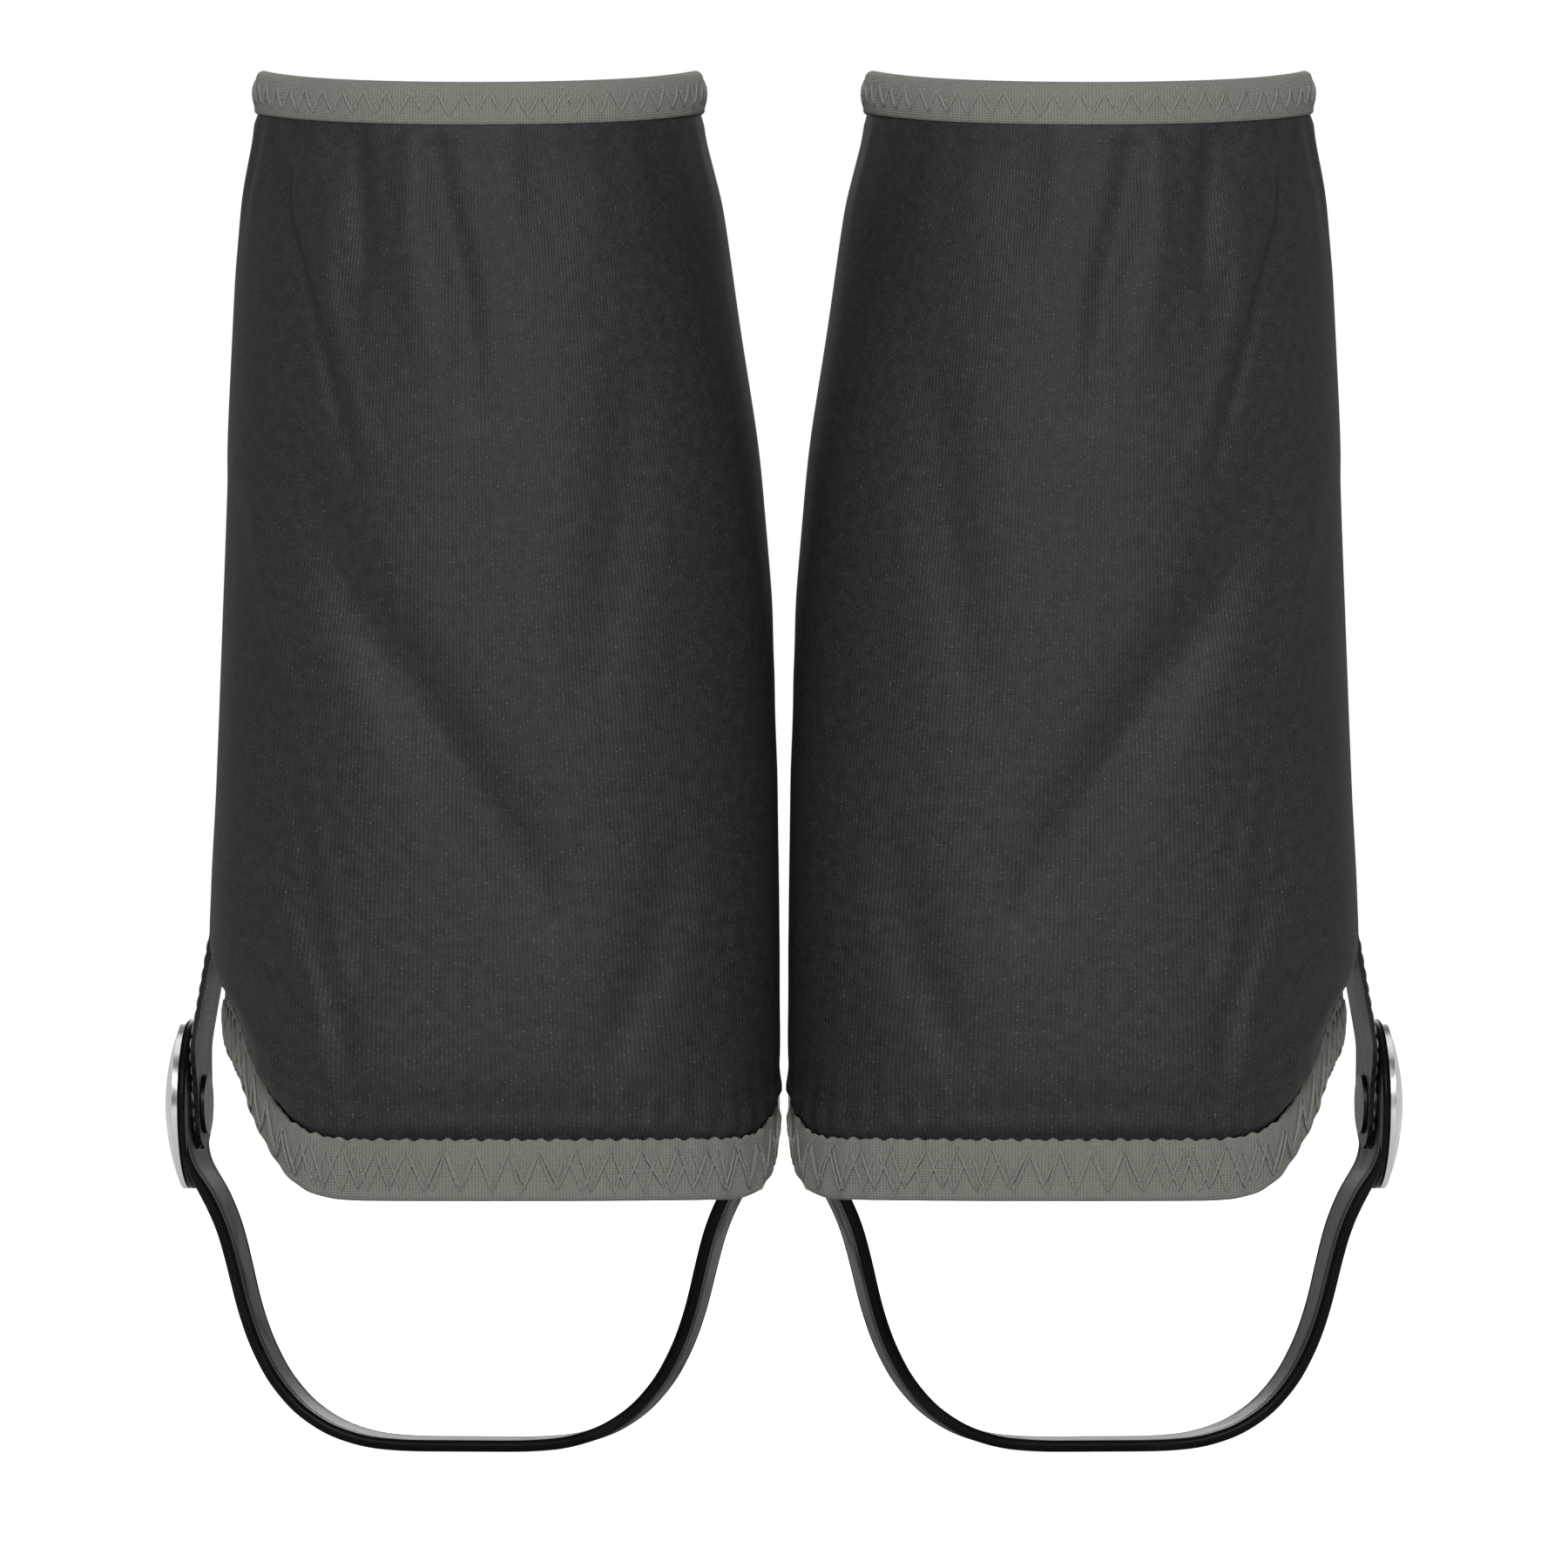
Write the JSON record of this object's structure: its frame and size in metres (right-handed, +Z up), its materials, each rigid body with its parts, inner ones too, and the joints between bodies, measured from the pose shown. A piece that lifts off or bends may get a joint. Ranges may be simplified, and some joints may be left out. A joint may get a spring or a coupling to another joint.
{
  "type": "pair of trail gaiters",
  "caption": "Pair of stretch trail gaiters in their worn shape: tapered sleeve, elastic top and hem bands, side tabs, domed snaps, instep strap and front lace hook.",
  "frame": {"origin": "middle of the pair's footprint, at the height of the underside of the instep straps", "axes": "+Z up along the legs, +Y to the toes, +X to the wearer's right"},
  "size_m": [0.2472, 0.1504, 0.273],
  "materials": {
    "fabric": "matte ribbed stretch knit with a faint sparkle",
    "elastic": "matte fine-ribbed elastic, olive grey",
    "band_thread": "twisted thread, olive grey",
    "seam_thread": "black flatlock thread",
    "tab": "coated webbing, semi-gloss black",
    "tab_thread": "charcoal bonded thread",
    "webbing": "woven black webbing",
    "strap": "moulded polyurethane, satin black",
    "snap_metal": "plain steel",
    "cap_metal": "satin bright plate",
    "hook_wire": "dark plated wire"
  },
  "bodies": {
    "left_gaiter": {"left_sleeve": "fabric", "left_top_band": "elastic", "left_top_band_zigzag": "band_thread", "left_hem_band": "elastic", "left_hem_band_zigzag": "band_thread", "left_front_seam": "seam_thread", "left_outer_tab": "tab", "left_inner_tab": "tab", "left_outer_tab_stitching": "tab_thread", "left_inner_tab_stitching": "tab_thread", "left_outer_stud": "snap_metal", "left_inner_stud": "snap_metal", "left_outer_stud_backplate": "snap_metal", "left_inner_stud_backplate": "snap_metal", "left_hook_loop": "webbing", "left_hook_loop_bartack": "tab_thread"},
    "left_strap": {"left_instep_strap": "strap", "left_outer_cap": "cap_metal", "left_inner_cap": "cap_metal", "left_outer_socket": "snap_metal", "left_inner_socket": "snap_metal"},
    "left_hook": {"left_lace_hook": "hook_wire"},
    "right_gaiter": {"right_sleeve": "fabric", "right_top_band": "elastic", "right_top_band_zigzag": "band_thread", "right_hem_band": "elastic", "right_hem_band_zigzag": "band_thread", "right_front_seam": "seam_thread", "right_outer_tab": "tab", "right_inner_tab": "tab", "right_outer_tab_stitching": "tab_thread", "right_inner_tab_stitching": "tab_thread", "right_outer_stud": "snap_metal", "right_inner_stud": "snap_metal", "right_outer_stud_backplate": "snap_metal", "right_inner_stud_backplate": "snap_metal", "right_hook_loop": "webbing", "right_hook_loop_bartack": "tab_thread"},
    "right_strap": {"right_instep_strap": "strap", "right_outer_cap": "cap_metal", "right_inner_cap": "cap_metal", "right_outer_socket": "snap_metal", "right_inner_socket": "snap_metal"},
    "right_hook": {"right_lace_hook": "hook_wire"}
  },
  "joints": [
    {"name": "pair_spread", "type": "slide", "parent": "left_gaiter", "child": "right_gaiter", "axis": [1, 0, 0], "range_m": [0, 0.3]},
    {"name": "left_strap_swing", "type": "hinge", "parent": "left_gaiter", "child": "left_strap", "pos_m": [-0.0622, 0.01708, 0.069], "axis": [0.9925, -0.1219, 0], "range_deg": [-40, 40]},
    {"name": "right_strap_swing", "type": "hinge", "parent": "right_gaiter", "child": "right_strap", "pos_m": [0.0622, 0.01708, 0.069], "axis": [0.9925, 0.1219, 0], "range_deg": [-40, 40]},
    {"name": "left_lace_hook_swing", "type": "hinge", "parent": "left_gaiter", "child": "left_hook", "pos_m": [-0.0571, 0.06672, 0.08], "axis": [1, 0, 0], "range_deg": [-50, 90]},
    {"name": "right_lace_hook_swing", "type": "hinge", "parent": "right_gaiter", "child": "right_hook", "pos_m": [0.0571, 0.06672, 0.08], "axis": [1, 0, 0], "range_deg": [-50, 90]}
  ]
}
